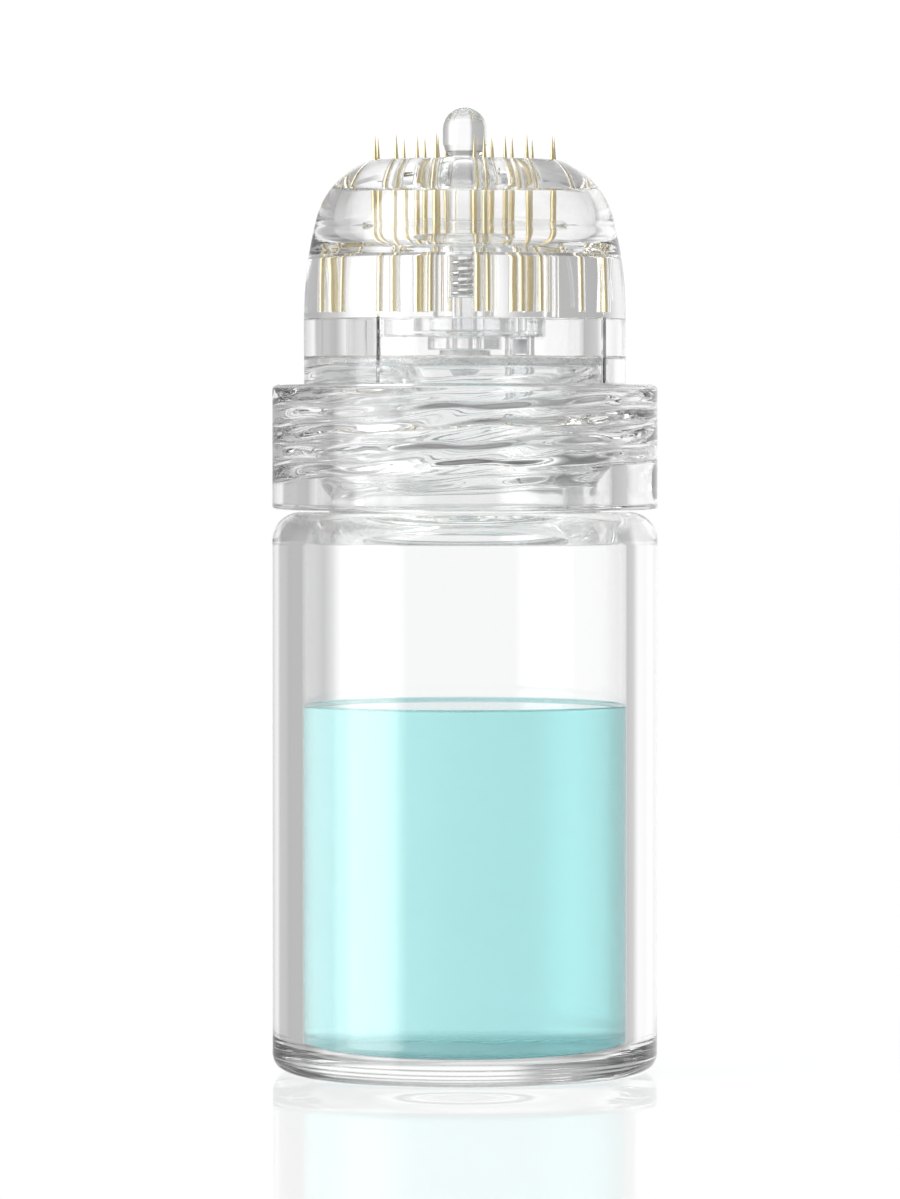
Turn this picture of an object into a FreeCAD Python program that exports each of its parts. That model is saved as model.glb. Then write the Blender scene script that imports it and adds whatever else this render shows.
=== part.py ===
"""Microneedle serum applicator: a glass vial with a screwed-on needle head.

Units are millimetres. The origin is the centre of the vial's foot, with +Z up through the plunger.
The head (base, dome, needles, valve) screws onto the vial's neck. Pressing the rounded plunger in the
middle of the needles pushes the stopper off its seat, and serum runs up round the stem to the skin.
"""

import FreeCAD
import Part
import Sketcher
import math
import os

FULL_TURN = 360.0
EMBED_DEPTH = 0.1  # how far a thread ridge reaches into its wall, so that they fuse

# Driving dimensions: alias, value, what it is.
DIMENSIONS = [
    ("gap", 0.02, "film of air between faces that are assembled against each other"),
    ("vial_radius", 12.0, "outside of the glass body"),
    ("vial_bore", 10.1, "inside of the glass body"),
    ("foot_corner", 1.2, "outer rounding at the foot"),
    ("foot_ring", 9.0, "where the foot starts to touch the table"),
    ("push_up", 0.35, "height of the hollow under the foot"),
    ("floor_height", 1.25, "inside floor above the table"),
    ("floor_corner", 1.0, "inner rounding at the floor"),
    ("shoulder_height", 34.9, "top of the vial's shoulder"),
    ("shoulder_corner", 2.25, "outer rounding of the shoulder"),
    ("ceiling_height", 33.9, "underside of the shoulder"),
    ("ceiling_corner", 1.1, "inner rounding below the shoulder"),
    ("neck_radius", 8.3, "neck between the threads"),
    ("neck_bore", 6.4, "mouth of the vial"),
    ("neck_fillet", 0.7, "inner rounding where the neck meets the shoulder"),
    ("rim_height", 43.95, "top of the rim"),
    ("rim_round", 0.4, "outer rounding of the rim"),
    ("mouth_round", 0.3, "inner rounding of the rim"),
    ("serum_height", 22.8, "level of the serum"),
    ("serum_gap", 0.04, "film between the serum and the glass"),
    ("thread_pitch", 2.4, "rise of the thread in a turn"),
    ("thread_start", 36.7, "middle of the ridge where both threads start"),
    ("neck_thread_rise", 6.2, "height that the neck's ridge climbs"),
    ("neck_thread_crest", 9.0, "outer radius of the neck's ridge"),
    ("neck_ridge_root", 0.75, "half width of the neck's ridge at its root"),
    ("neck_ridge_crest", 0.38, "half width of the neck's ridge at its crest"),
    ("base_thread_rise", 6.5, "height that the base's ridge climbs"),
    ("base_thread_crest", 8.5, "inner radius of the base's ridge"),
    ("base_ridge_root", 0.7, "half width of the base's ridge at its root"),
    ("base_ridge_crest", 0.35, "half width of the base's ridge at its crest"),
    ("collar_bottom", 35.05, "lower face of the screw collar"),
    ("collar_top", 42.8, "upper face of the screw collar"),
    ("collar_round", 0.35, "rounding of the collar's upper edge"),
    ("collar_chamfer", 0.2, "chamfer of the collar's lower edge"),
    ("base_bore", 9.2, "bore that the neck screws into"),
    ("lead_in", 0.2, "widening at the mouth of that bore"),
    ("lead_in_height", 0.25, "height of the widening"),
    ("ledge_height", 44.45, "ledge that presses the gasket"),
    ("skirt_radius", 10.03, "straight skirt above the collar, where a cover cap sits"),
    ("skirt_top", 46.9, "end of the skirt and ceiling of the valve chamber"),
    ("chamber_radius", 7.4, "chamber over the vial's mouth"),
    ("stem_bore", 1.25, "bore for the plunger's stem"),
    ("seam_height", 50.8, "where the dome is welded to the base"),
    ("spigot_radius", 8.1, "ring that centres the dome"),
    ("spigot_bore", 7.3, "inside of that ring"),
    ("spigot_rise", 0.5, "height of that ring"),
    ("slit_width", 0.16, "fine vertical slits in the skirt"),
    ("slit_depth", 0.3, "depth of the slits"),
    ("slit_phase", 58.2, "angle of the first slit"),
    ("slit_count", 4, "number of slits"),
    ("flank_radius", 25.0, "gentle curve of the dome's flank"),
    ("flank_top", 53.0, "where the flank meets the crown's curve"),
    ("crown_radius", 5.1, "tight curve below the dome's top face"),
    ("top_height", 56.7, "top face of the dome"),
    ("top_radius", 5.85, "flat part of the top face"),
    ("top_thickness", 2.2, "thickness of the top plate"),
    ("dome_bore", 8.2, "inside of the dome"),
    ("dome_bore_top", 52.4, "where the dome's inside starts to curve in"),
    ("dome_inner_curve", 4.0, "radius of that curve"),
    ("button_hole", 1.5, "hole for the plunger in the top plate"),
    ("needle_tip", 58.3, "height of the needle tips"),
    ("needle_root", 47.25, "lower end of the needles"),
    ("needle_radius", 0.17, "needle shank"),
    ("needle_taper", 1.9, "length of the sharpened end"),
    ("needle_hole", 0.2, "holes that the needles are glued into"),
    ("outer_ring", 5.69, "radius of the outer ring of needles"),
    ("outer_count", 12, "needles in the outer ring"),
    ("outer_phase", 12.0, "angle of the outer ring's first needle"),
    ("inner_ring", 3.0, "radius of the inner ring of needles"),
    ("inner_count", 8, "needles in the inner ring"),
    ("inner_phase", 11.25, "angle of the inner ring's first needle"),
    ("plate_radius", 6.4, "needle plate"),
    ("plate_top", 52.0, "upper face of the needle plate"),
    ("breather_radius", 0.35, "air hole through needle plate and base, above the vent tube"),
    ("button_top", 60.0, "top of the plunger"),
    ("button_radius", 1.375, "rounded end of the plunger"),
    ("button_bottom", 57.7, "where the rounded end starts to narrow"),
    ("button_neck", 57.0, "where it has narrowed to the stem"),
    ("stem_radius", 1.1, "upper part of the stem"),
    ("stem_shoulder", 51.0, "shoulder that the spring pushes on"),
    ("pin_radius", 0.5, "lower part of the stem"),
    ("pin_bottom", 43.95, "lower end of the stem"),
    ("spring_seat", 48.0, "upper end of the guide sleeve, which carries the spring"),
    ("spring_radius", 0.8, "middle of the spring's wire"),
    ("wire_radius", 0.1, "spring wire"),
    ("spring_pitch", 0.56, "rise of the spring in a turn"),
    ("sleeve_radius", 1.2, "guide sleeve in the stem bore"),
    ("sleeve_bore", 0.55, "bore of the guide sleeve, which the stem slides in"),
    ("flute_radius", 0.2, "flutes in that bore, which let the serum past the stem"),
    ("flute_ring", 0.65, "distance of the flutes from the axis"),
    ("flute_count", 3, "number of flutes"),
    ("sleeve_flange", 2.2, "flange of the guide sleeve"),
    ("sleeve_flange_height", 0.8, "thickness of that flange"),
    ("valve_plate_radius", 5.05, "valve plate, glued under the chamber's ceiling"),
    ("valve_plate_bottom", 45.72, "lower face of the valve plate"),
    ("seat_boss", 2.3, "radius of the boss round the seat"),
    ("seat_bottom", 44.95, "lower rim of the boss, which the stopper seals"),
    ("seat_bore", 0.8, "hole that the serum runs through"),
    ("stopper_radius", 1.6, "sealing rim of the stopper"),
    ("stopper_rim", 0.35, "height of that rim"),
    ("stopper_nose", 0.45, "radius of the stopper's nose"),
    ("stopper_bottom", 42.95, "lower end of the stopper"),
    ("stopper_socket", 43.9, "bottom of the socket for the stem"),
    ("vent_offset", 3.44, "distance of the vent tube from the axis"),
    ("vent_radius", 0.93, "outside of the vent tube"),
    ("vent_bore", 0.45, "bore of the vent tube"),
    ("vent_flange", 1.1, "flange of the vent tube"),
    ("vent_flange_height", 0.23, "thickness of that flange"),
    ("vent_bottom", 42.0, "lower end of the vent tube"),
    ("filter_top", 45.6, "upper end of the vent filter"),
    ("filter_height", 0.9, "length of the vent filter"),
    ("gasket_bore", 6.2, "inside of the gasket"),
    ("gasket_radius", 8.9, "outside of the gasket"),
]


class Size:
    """A length that carries both its number and the sheet formula that it comes from."""

    def __init__(self, value, formula):
        self.value = float(value)
        self.formula = formula

    def __add__(self, other):
        other = as_size(other)
        return Size(self.value + other.value, f"({self.formula} + {other.formula})")

    def __sub__(self, other):
        other = as_size(other)
        return Size(self.value - other.value, f"({self.formula} - {other.formula})")

    def __mul__(self, other):
        other = as_size(other)
        return Size(self.value * other.value, f"({self.formula} * {other.formula})")

    def __truediv__(self, other):
        other = as_size(other)
        return Size(self.value / other.value, f"({self.formula} / {other.formula})")

    def root(self):
        return Size(math.sqrt(self.value), f"sqrt({self.formula})")


def as_size(thing):
    return thing if isinstance(thing, Size) else Size(thing, f"{thing}")


ZERO = Size(0, "0")


class Sheet:
    """The spreadsheet of driving dimensions. sheet.alias gives that cell as a Size."""

    def __init__(self, document):
        page = document.addObject("Spreadsheet::Sheet", "dims")
        for row, (alias, value, note) in enumerate(DIMENSIONS, start=1):
            page.set(f"A{row}", alias)
            page.set(f"B{row}", str(value))
            page.set(f"C{row}", note)
            page.setAlias(f"B{row}", alias)
            setattr(self, alias, Size(value, f"dims.{alias}"))


document = FreeCAD.newDocument("serum_applicator")
dims = Sheet(document)
document.recompute()
nodes = []


# ---- helpers -------------------------------------------------------------------------------------


def arc(r, z, radius, turn):
    """A corner of an outline that is reached by an arc. turn is +1 for anticlockwise, -1 for clockwise."""
    return (r, z, radius, turn)


def new_body(label):
    body = document.addObject("PartDesign::Body", label)
    body.Label = label
    nodes.append(body)
    return body


def origin_part(body, role):
    return next(item for item in body.Origin.OriginFeatures if item.Role == role)


def new_sketch(body, name, role, height=None, phase=None):
    """A sketch on one of the body's own origin planes, raised by height and turned by phase degrees."""
    sketch = body.newObject("Sketcher::SketchObject", name)
    sketch.AttachmentSupport = [(origin_part(body, role), "")]
    sketch.MapMode = "FlatFace"
    if phase is not None:
        axis = FreeCAD.Vector(0, 0, 1) if role == "XY_Plane" else FreeCAD.Vector(0, 1, 0)
        sketch.AttachmentOffset = FreeCAD.Placement(
            FreeCAD.Vector(), FreeCAD.Rotation(axis, phase.value)
        )
        sketch.setExpression("AttachmentOffset.Rotation.Angle", phase.formula)
    if height is not None:
        sketch.setExpression("AttachmentOffset.Base.z", height.formula)
    return sketch


def constrain(sketch, name, formula, *constraint):
    index = sketch.addConstraint(Sketcher.Constraint(*constraint))
    sketch.renameConstraint(index, name)
    sketch.setExpression(f"Constraints.{name}", formula)


def pin_point(sketch, name, geometry, point, r, z):
    """Fixes a point of the sketch at (r, z), on an axis where that is zero."""
    if r.value == 0:
        sketch.addConstraint(Sketcher.Constraint("PointOnObject", geometry, point, -2))
    else:
        constrain(sketch, f"{name}_r", r.formula, "DistanceX", -1, 1, geometry, point, r.value)
    if z.value == 0:
        sketch.addConstraint(Sketcher.Constraint("PointOnObject", geometry, point, -1))
    else:
        constrain(sketch, f"{name}_z", z.formula, "DistanceY", -1, 1, geometry, point, z.value)


def arc_between(start, end, radius, turn):
    """The arc from start to end, and which of its two ends is its start."""
    chord = end - start
    half = chord.Length / 2
    side = FreeCAD.Vector(-chord.y, chord.x, 0).normalize() * turn
    centre = (start + end) * 0.5 + side * math.sqrt(max(radius**2 - half**2, 0))
    first, last = (start, end) if turn > 0 else (end, start)
    circle = Part.Circle(centre, FreeCAD.Vector(0, 0, 1), radius)
    angles = [math.atan2(p.y - centre.y, p.x - centre.x) for p in (first, last)]
    return Part.ArcOfCircle(circle, *angles), (1 if turn > 0 else 2)


def draw_outline(sketch, corners):
    """Draws a closed outline of corners (r, z), each reached by a line, or by an arc where arc() made it."""
    corners = [tuple(as_size(x) for x in c[:3]) + tuple(c[3:]) for c in corners]
    count = len(corners)
    ends = []
    for i in range(count):
        here, there = corners[i], corners[(i + 1) % count]
        start = FreeCAD.Vector(here[0].value, here[1].value, 0)
        end = FreeCAD.Vector(there[0].value, there[1].value, 0)
        if len(there) == 2:
            geometry = sketch.addGeometry(Part.LineSegment(start, end))
            ends.append((geometry, 1, 2))
        else:
            shape, first = arc_between(start, end, there[2].value, there[3])
            geometry = sketch.addGeometry(shape)
            ends.append((geometry, first, 3 - first))
    for i in range(count):
        geometry, first, _ = ends[i]
        before, _, last = ends[i - 1]
        sketch.addConstraint(Sketcher.Constraint("Coincident", before, last, geometry, first))
        pin_point(sketch, f"corner{i}", geometry, first, corners[i][0], corners[i][1])
        there = corners[(i + 1) % count]
        if len(there) == 4:
            radius = there[2]
            constrain(sketch, f"arc{i}", radius.formula, "Radius", geometry, radius.value)


def revolve(body, corners):
    """Turns an outline of (r, z) corners about the body's Z axis."""
    sketch = new_sketch(body, "outline", "XZ_Plane")
    draw_outline(sketch, corners)
    turned = body.newObject("PartDesign::Revolution", "turned")
    turned.Profile = sketch
    turned.ReferenceAxis = (sketch, ["V_Axis"])
    turned.Angle = FULL_TURN
    sketch.Visibility = False
    document.recompute()


def turned_part(label, corners):
    body = new_body(label)
    revolve(body, corners)
    return body


def cut(body, sketch, depth):
    """A pocket straight down from the sketch, checked to have removed something."""
    before = body.Shape.Volume
    pocket = body.newObject("PartDesign::Pocket", "cut")
    pocket.Profile = sketch
    pocket.Length = depth.value
    pocket.setExpression("Length", depth.formula)
    document.recompute()
    if body.Shape.Volume >= before:
        raise RuntimeError(f"{body.Label}: a pocket removed nothing")
    return pocket


def repeat_round(body, feature, count):
    """Repeats a feature count times round the body's Z axis."""
    pattern = body.newObject("PartDesign::PolarPattern", "ring")
    pattern.Originals = [feature]
    pattern.Axis = (origin_part(body, "Z_Axis"), [""])
    pattern.Angle = FULL_TURN
    pattern.Occurrences = int(count.value)
    pattern.setExpression("Occurrences", count.formula)
    body.Tip = pattern
    document.recompute()


def drill(body, ring, phase, radius, top, depth, count=None):
    """A round hole at distance ring from the axis, repeated round it where count is given."""
    sketch = new_sketch(body, "hole", "XY_Plane", top, phase)
    centre = FreeCAD.Vector(ring.value, 0, 0)
    circle = sketch.addGeometry(Part.Circle(centre, FreeCAD.Vector(0, 0, 1), radius.value))
    pin_point(sketch, "centre", circle, 3, ring, ZERO)
    constrain(sketch, "radius", radius.formula, "Radius", circle, radius.value)
    hole = cut(body, sketch, depth)
    if count is not None:
        repeat_round(body, hole, count)


def drill_needle_holes(body, top, depth):
    drill(body, dims.outer_ring, dims.outer_phase, dims.needle_hole, top, depth, dims.outer_count)
    drill(body, dims.inner_ring, dims.inner_phase, dims.needle_hole, top, depth, dims.inner_count)


def drill_air_hole(body, top, depth):
    drill(body, dims.vent_offset, ZERO, dims.breather_radius, top, depth)


def thread(body, corners, rise, pitch, half_turn=False):
    """Winds an outline round the Z axis as a right-handed ridge, from the +X side or the -X side."""
    sketch = new_sketch(body, "ridge", "XZ_Plane", None, Size(180, "180") if half_turn else None)
    draw_outline(sketch, corners)
    ridge = body.newObject("PartDesign::AdditiveHelix", "thread")
    ridge.Profile = sketch
    ridge.ReferenceAxis = (sketch, ["V_Axis"])
    ridge.Mode = "pitch-height-angle"
    ridge.Pitch = pitch.value
    ridge.Height = rise.value
    ridge.setExpression("Pitch", pitch.formula)
    ridge.setExpression("Height", rise.formula)
    ridge.Angle = 0
    ridge.LeftHanded = False
    document.recompute()


# ---- the vial and what it holds ------------------------------------------------------------------


def make_glass_vial():
    d = dims
    body = turned_part(
        "glass_vial",
        [
            (0, d.push_up),
            (d.foot_ring - d.foot_corner / 2, d.push_up),
            (d.foot_ring, 0),
            (d.vial_radius - d.foot_corner, 0),
            arc(d.vial_radius, d.foot_corner, d.foot_corner, 1),
            (d.vial_radius, d.shoulder_height - d.shoulder_corner),
            arc(d.vial_radius - d.shoulder_corner, d.shoulder_height, d.shoulder_corner, 1),
            (d.neck_radius, d.shoulder_height),
            (d.neck_radius, d.rim_height - d.rim_round),
            arc(d.neck_radius - d.rim_round, d.rim_height, d.rim_round, 1),
            (d.neck_bore + d.mouth_round, d.rim_height),
            arc(d.neck_bore, d.rim_height - d.mouth_round, d.mouth_round, 1),
            (d.neck_bore, d.ceiling_height + d.neck_fillet),
            arc(d.neck_bore + d.neck_fillet, d.ceiling_height, d.neck_fillet, 1),
            (d.vial_bore - d.ceiling_corner, d.ceiling_height),
            arc(d.vial_bore, d.ceiling_height - d.ceiling_corner, d.ceiling_corner, -1),
            (d.vial_bore, d.floor_height + d.floor_corner),
            arc(d.vial_bore - d.floor_corner, d.floor_height, d.floor_corner, -1),
            (0, d.floor_height),
        ],
    )
    inner = d.neck_radius - EMBED_DEPTH
    thread(
        body,
        [
            (inner, d.thread_start - d.neck_ridge_root),
            (d.neck_radius, d.thread_start - d.neck_ridge_root),
            (d.neck_thread_crest, d.thread_start - d.neck_ridge_crest),
            (d.neck_thread_crest, d.thread_start + d.neck_ridge_crest),
            (d.neck_radius, d.thread_start + d.neck_ridge_root),
            (inner, d.thread_start + d.neck_ridge_root),
        ],
        d.neck_thread_rise,
        d.thread_pitch,
        half_turn=True,
    )


def make_serum():
    d = dims
    radius = d.vial_bore - d.serum_gap
    bottom = d.floor_height + d.serum_gap
    turned_part(
        "serum",
        [
            (0, bottom),
            (radius - d.floor_corner, bottom),
            arc(radius, bottom + d.floor_corner, d.floor_corner, 1),
            (radius, d.serum_height),
            (0, d.serum_height),
        ],
    )


def make_neck_gasket():
    d = dims
    bottom = d.rim_height + d.gap
    top = d.ledge_height - d.gap
    turned_part(
        "neck_gasket",
        [(d.gasket_bore, bottom), (d.gasket_radius, bottom), (d.gasket_radius, top), (d.gasket_bore, top)],
    )


# ---- the head's housing --------------------------------------------------------------------------


def flank_radius_at(height):
    """Radius of the head's outer flank at a height above the skirt."""
    d = dims
    rise = height - d.skirt_top
    return d.skirt_radius - d.flank_radius + (d.flank_radius * d.flank_radius - rise * rise).root()


def make_threaded_base():
    d = dims
    body = turned_part(
        "threaded_base",
        [
            (d.base_bore + d.lead_in, d.collar_bottom),
            (d.vial_radius - d.collar_chamfer, d.collar_bottom),
            (d.vial_radius, d.collar_bottom + d.collar_chamfer),
            (d.vial_radius, d.collar_top - d.collar_round),
            arc(d.vial_radius - d.collar_round, d.collar_top, d.collar_round, 1),
            (d.skirt_radius, d.collar_top),
            (d.skirt_radius, d.skirt_top),
            arc(flank_radius_at(d.seam_height), d.seam_height, d.flank_radius, 1),
            (d.spigot_radius, d.seam_height),
            (d.spigot_radius, d.seam_height + d.spigot_rise),
            (d.spigot_bore, d.seam_height + d.spigot_rise),
            (d.spigot_bore, d.seam_height),
            (d.stem_bore, d.seam_height),
            (d.stem_bore, d.skirt_top),
            (d.chamber_radius, d.skirt_top),
            (d.chamber_radius, d.ledge_height),
            (d.base_bore, d.ledge_height),
            (d.base_bore, d.collar_bottom + d.lead_in_height),
        ],
    )
    outer = d.base_bore + EMBED_DEPTH
    thread(
        body,
        [
            (outer, d.thread_start - d.base_ridge_root),
            (outer, d.thread_start + d.base_ridge_root),
            (d.base_bore, d.thread_start + d.base_ridge_root),
            (d.base_thread_crest, d.thread_start + d.base_ridge_crest),
            (d.base_thread_crest, d.thread_start - d.base_ridge_crest),
            (d.base_bore, d.thread_start - d.base_ridge_root),
        ],
        d.base_thread_rise,
        d.thread_pitch,
    )
    drill_needle_holes(body, d.seam_height, d.seam_height - d.needle_root + d.gap)
    drill_air_hole(body, d.seam_height, d.seam_height - d.skirt_top)
    cut_slits(body)


def cut_slits(body):
    """The fine vertical slits in the skirt."""
    d = dims
    sketch = new_sketch(body, "slit", "XY_Plane", d.skirt_top, d.slit_phase)
    inner = d.skirt_radius - d.slit_depth
    outer = d.skirt_radius + d.slit_depth
    half = d.slit_width / 2
    corners = [(inner, -1), (outer, -1), (outer, 1), (inner, 1)]
    points = [FreeCAD.Vector(x.value, side * half.value, 0) for x, side in corners]
    lines = [
        sketch.addGeometry(Part.LineSegment(points[i], points[(i + 1) % 4])) for i in range(4)
    ]
    for i in range(4):
        sketch.addConstraint(Sketcher.Constraint("Coincident", lines[i], 2, lines[(i + 1) % 4], 1))
    sketch.addConstraint(Sketcher.Constraint("Horizontal", lines[0]))
    for i in (1, 3):
        sketch.addConstraint(Sketcher.Constraint("Symmetric", lines[i], 1, lines[i], 2, -1))
    constrain(sketch, "inner", inner.formula, "DistanceX", -1, 1, lines[0], 1, inner.value)
    constrain(sketch, "outer", outer.formula, "DistanceX", -1, 1, lines[0], 2, outer.value)
    constrain(sketch, "width", d.slit_width.formula, "Distance", lines[1], d.slit_width.value)
    slit = cut(body, sketch, d.skirt_top - d.collar_top)
    repeat_round(body, slit, d.slit_count)


def make_dome_cap():
    d = dims
    bottom = d.seam_height + d.gap
    ceiling = d.top_height - d.top_thickness
    rise = ceiling - d.dome_bore_top
    inner_top = d.dome_bore - d.dome_inner_curve + (
        d.dome_inner_curve * d.dome_inner_curve - rise * rise
    ).root()
    body = turned_part(
        "dome_cap",
        [
            (d.dome_bore, bottom),
            (flank_radius_at(bottom), bottom),
            arc(flank_radius_at(d.flank_top), d.flank_top, d.flank_radius, 1),
            arc(d.top_radius, d.top_height, d.crown_radius, 1),
            (d.button_hole, d.top_height),
            (d.button_hole, ceiling),
            (inner_top, ceiling),
            arc(d.dome_bore, d.dome_bore_top, d.dome_inner_curve, -1),
        ],
    )
    drill_needle_holes(body, d.top_height, d.top_thickness)


# ---- the needle cartridge ------------------------------------------------------------------------


def make_needle_plate():
    d = dims
    bottom = d.seam_height + d.gap
    body = turned_part(
        "needle_plate",
        [
            (d.stem_bore, bottom),
            (d.plate_radius, bottom),
            (d.plate_radius, d.plate_top),
            (d.stem_bore, d.plate_top),
        ],
    )
    drill_needle_holes(body, d.plate_top, d.plate_top - bottom)
    drill_air_hole(body, d.plate_top, d.plate_top - bottom)


def make_needles():
    """Twenty needles turned from one profile: a straight shank and a long sharpened end."""
    d = dims
    profile = document.addObject("Sketcher::SketchObject", "needle_profile")
    profile.Placement = FreeCAD.Placement(
        FreeCAD.Vector(), FreeCAD.Rotation(FreeCAD.Vector(1, 0, 0), 90)
    )
    draw_outline(
        profile,
        [
            (0, d.needle_root),
            (d.needle_radius, d.needle_root),
            (d.needle_radius, d.needle_tip - d.needle_taper),
            (0, d.needle_tip),
        ],
    )
    document.recompute()
    rings = [
        (d.outer_ring, d.outer_phase, d.outer_count),
        (d.inner_ring, d.inner_phase, d.inner_count),
    ]
    number = 0
    for ring, phase, count in rings:
        for i in range(int(count.value)):
            number += 1
            label = f"needle_{number:02d}"
            needle = document.addObject("Part::Revolution", label)
            needle.Label = label
            needle.Source = profile
            needle.Axis = FreeCAD.Vector(0, 0, 1)
            needle.Base = FreeCAD.Vector()
            needle.Angle = FULL_TURN
            needle.Solid = True
            angle = f"(({phase.formula}) + {i} * 360 / {count.formula}) * 1deg"
            needle.setExpression("Placement.Base.x", f"{ring.formula} * cos({angle})")
            needle.setExpression("Placement.Base.y", f"{ring.formula} * sin({angle})")
            nodes.append(needle)


# ---- the plunger and its valve -------------------------------------------------------------------


def make_plunger():
    d = dims
    turned_part(
        "plunger",
        [
            (0, d.pin_bottom),
            (d.pin_radius, d.pin_bottom),
            (d.pin_radius, d.stem_shoulder),
            (d.stem_radius, d.stem_shoulder),
            (d.stem_radius, d.button_neck),
            (d.button_radius, d.button_bottom),
            (d.button_radius, d.button_top - d.button_radius),
            arc(0, d.button_top, d.button_radius, 1),
        ],
    )


def make_return_spring():
    d = dims
    body = new_body("return_spring")
    sketch = new_sketch(body, "wire", "XZ_Plane")
    bottom = d.spring_seat + d.wire_radius + d.gap
    centre = FreeCAD.Vector(d.spring_radius.value, bottom.value, 0)
    circle = sketch.addGeometry(
        Part.Circle(centre, FreeCAD.Vector(0, 0, 1), d.wire_radius.value)
    )
    pin_point(sketch, "centre", circle, 3, d.spring_radius, bottom)
    constrain(sketch, "radius", d.wire_radius.formula, "Radius", circle, d.wire_radius.value)
    length = d.stem_shoulder - d.spring_seat - (d.wire_radius + d.gap) * 2
    coil = body.newObject("PartDesign::AdditiveHelix", "coil")
    coil.Profile = sketch
    coil.ReferenceAxis = (sketch, ["V_Axis"])
    coil.Mode = "pitch-height-angle"
    coil.Pitch = d.spring_pitch.value
    coil.Height = length.value
    coil.setExpression("Pitch", d.spring_pitch.formula)
    coil.setExpression("Height", length.formula)
    document.recompute()


def make_guide_sleeve():
    d = dims
    flange_top = d.skirt_top - d.gap
    length = d.spring_seat - flange_top + d.sleeve_flange_height
    body = turned_part(
        "guide_sleeve",
        [
            (d.sleeve_bore, flange_top - d.sleeve_flange_height),
            (d.sleeve_flange, flange_top - d.sleeve_flange_height),
            (d.sleeve_flange, flange_top),
            (d.sleeve_radius, flange_top),
            (d.sleeve_radius, d.spring_seat),
            (d.sleeve_bore, d.spring_seat),
        ],
    )
    drill(body, d.flute_ring, ZERO, d.flute_radius, d.spring_seat, length, d.flute_count)


def make_valve_plate():
    d = dims
    top = d.skirt_top - d.gap
    pocket = d.sleeve_flange + d.gap
    pocket_floor = top - d.sleeve_flange_height - d.gap
    body = turned_part(
        "valve_plate",
        [
            (d.seat_bore, d.seat_bottom),
            (d.seat_boss, d.seat_bottom),
            (d.seat_boss, d.valve_plate_bottom),
            (d.valve_plate_radius, d.valve_plate_bottom),
            (d.valve_plate_radius, top),
            (pocket, top),
            (pocket, pocket_floor),
            (d.seat_bore, pocket_floor),
        ],
    )
    thickness = top - d.valve_plate_bottom
    drill(body, d.vent_offset, ZERO, d.vent_radius + d.gap, top, thickness)
    drill(body, d.vent_offset, ZERO, d.vent_flange + d.gap, top, d.vent_flange_height + d.gap)


def make_valve_stopper():
    d = dims
    top = d.seat_bottom - d.gap
    socket = d.pin_radius + d.gap
    turned_part(
        "valve_stopper",
        [
            (0, d.stopper_bottom),
            (d.stopper_nose, d.stopper_bottom),
            (d.stopper_radius, top - d.stopper_rim),
            (d.stopper_radius, top),
            (socket, top),
            (socket, d.stopper_socket),
            (0, d.stopper_socket),
        ],
    )


def make_vent_tube():
    d = dims
    top = d.skirt_top - d.gap
    flange_bottom = top - d.vent_flange_height
    body = turned_part(
        "vent_tube",
        [
            (d.vent_bore, d.vent_bottom),
            (d.vent_radius, d.vent_bottom),
            (d.vent_radius, flange_bottom),
            (d.vent_flange, flange_bottom),
            (d.vent_flange, top),
            (d.vent_bore, top),
        ],
    )
    body.setExpression("Placement.Base.x", d.vent_offset.formula)


def make_vent_filter():
    d = dims
    radius = d.vent_bore - d.gap
    bottom = d.filter_top - d.filter_height
    body = turned_part(
        "vent_filter",
        [(0, bottom), (radius, bottom), (radius, d.filter_top), (0, d.filter_top)],
    )
    body.setExpression("Placement.Base.x", d.vent_offset.formula)


# ---- build, check and write ----------------------------------------------------------------------


def check_document():
    for item in document.Objects:
        if any(word in state for state in item.State for word in ("Invalid", "Error")):
            raise RuntimeError(f"{item.Label} failed: {item.State}")
    for node in nodes:
        if node.Shape.isNull() or not node.Shape.isValid():
            raise RuntimeError(f"{node.Label} has no valid shape")
        if not node.Shape.Solids or node.Shape.Volume <= 0:
            raise RuntimeError(f"{node.Label} has no solid")


def write_parts():
    os.makedirs("parts", exist_ok=True)
    for node in nodes:
        node.Shape.exportStep(f"parts/{node.Label}.step")
        box = node.Shape.BoundBox
        print(
            f"{node.Label}: {len(node.Shape.Solids)} solid, {node.Shape.Volume:.3f} mm3, "
            f"z {box.ZMin:.2f} to {box.ZMax:.2f}"
        )


make_glass_vial()
make_serum()
make_neck_gasket()
make_threaded_base()
make_dome_cap()
make_needle_plate()
make_needles()
make_plunger()
make_return_spring()
make_guide_sleeve()
make_valve_plate()
make_valve_stopper()
make_vent_tube()
make_vent_filter()
document.recompute()
check_document()
write_parts()
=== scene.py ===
"""Needle-stamp serum applicator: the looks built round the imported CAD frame.

Sizes are in millimetres until a mesh is made. Materials and the studio are in metres."""

import bpy
import math
import numpy as np
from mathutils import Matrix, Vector
from mathutils.geometry import delaunay_2d_cdt


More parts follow.
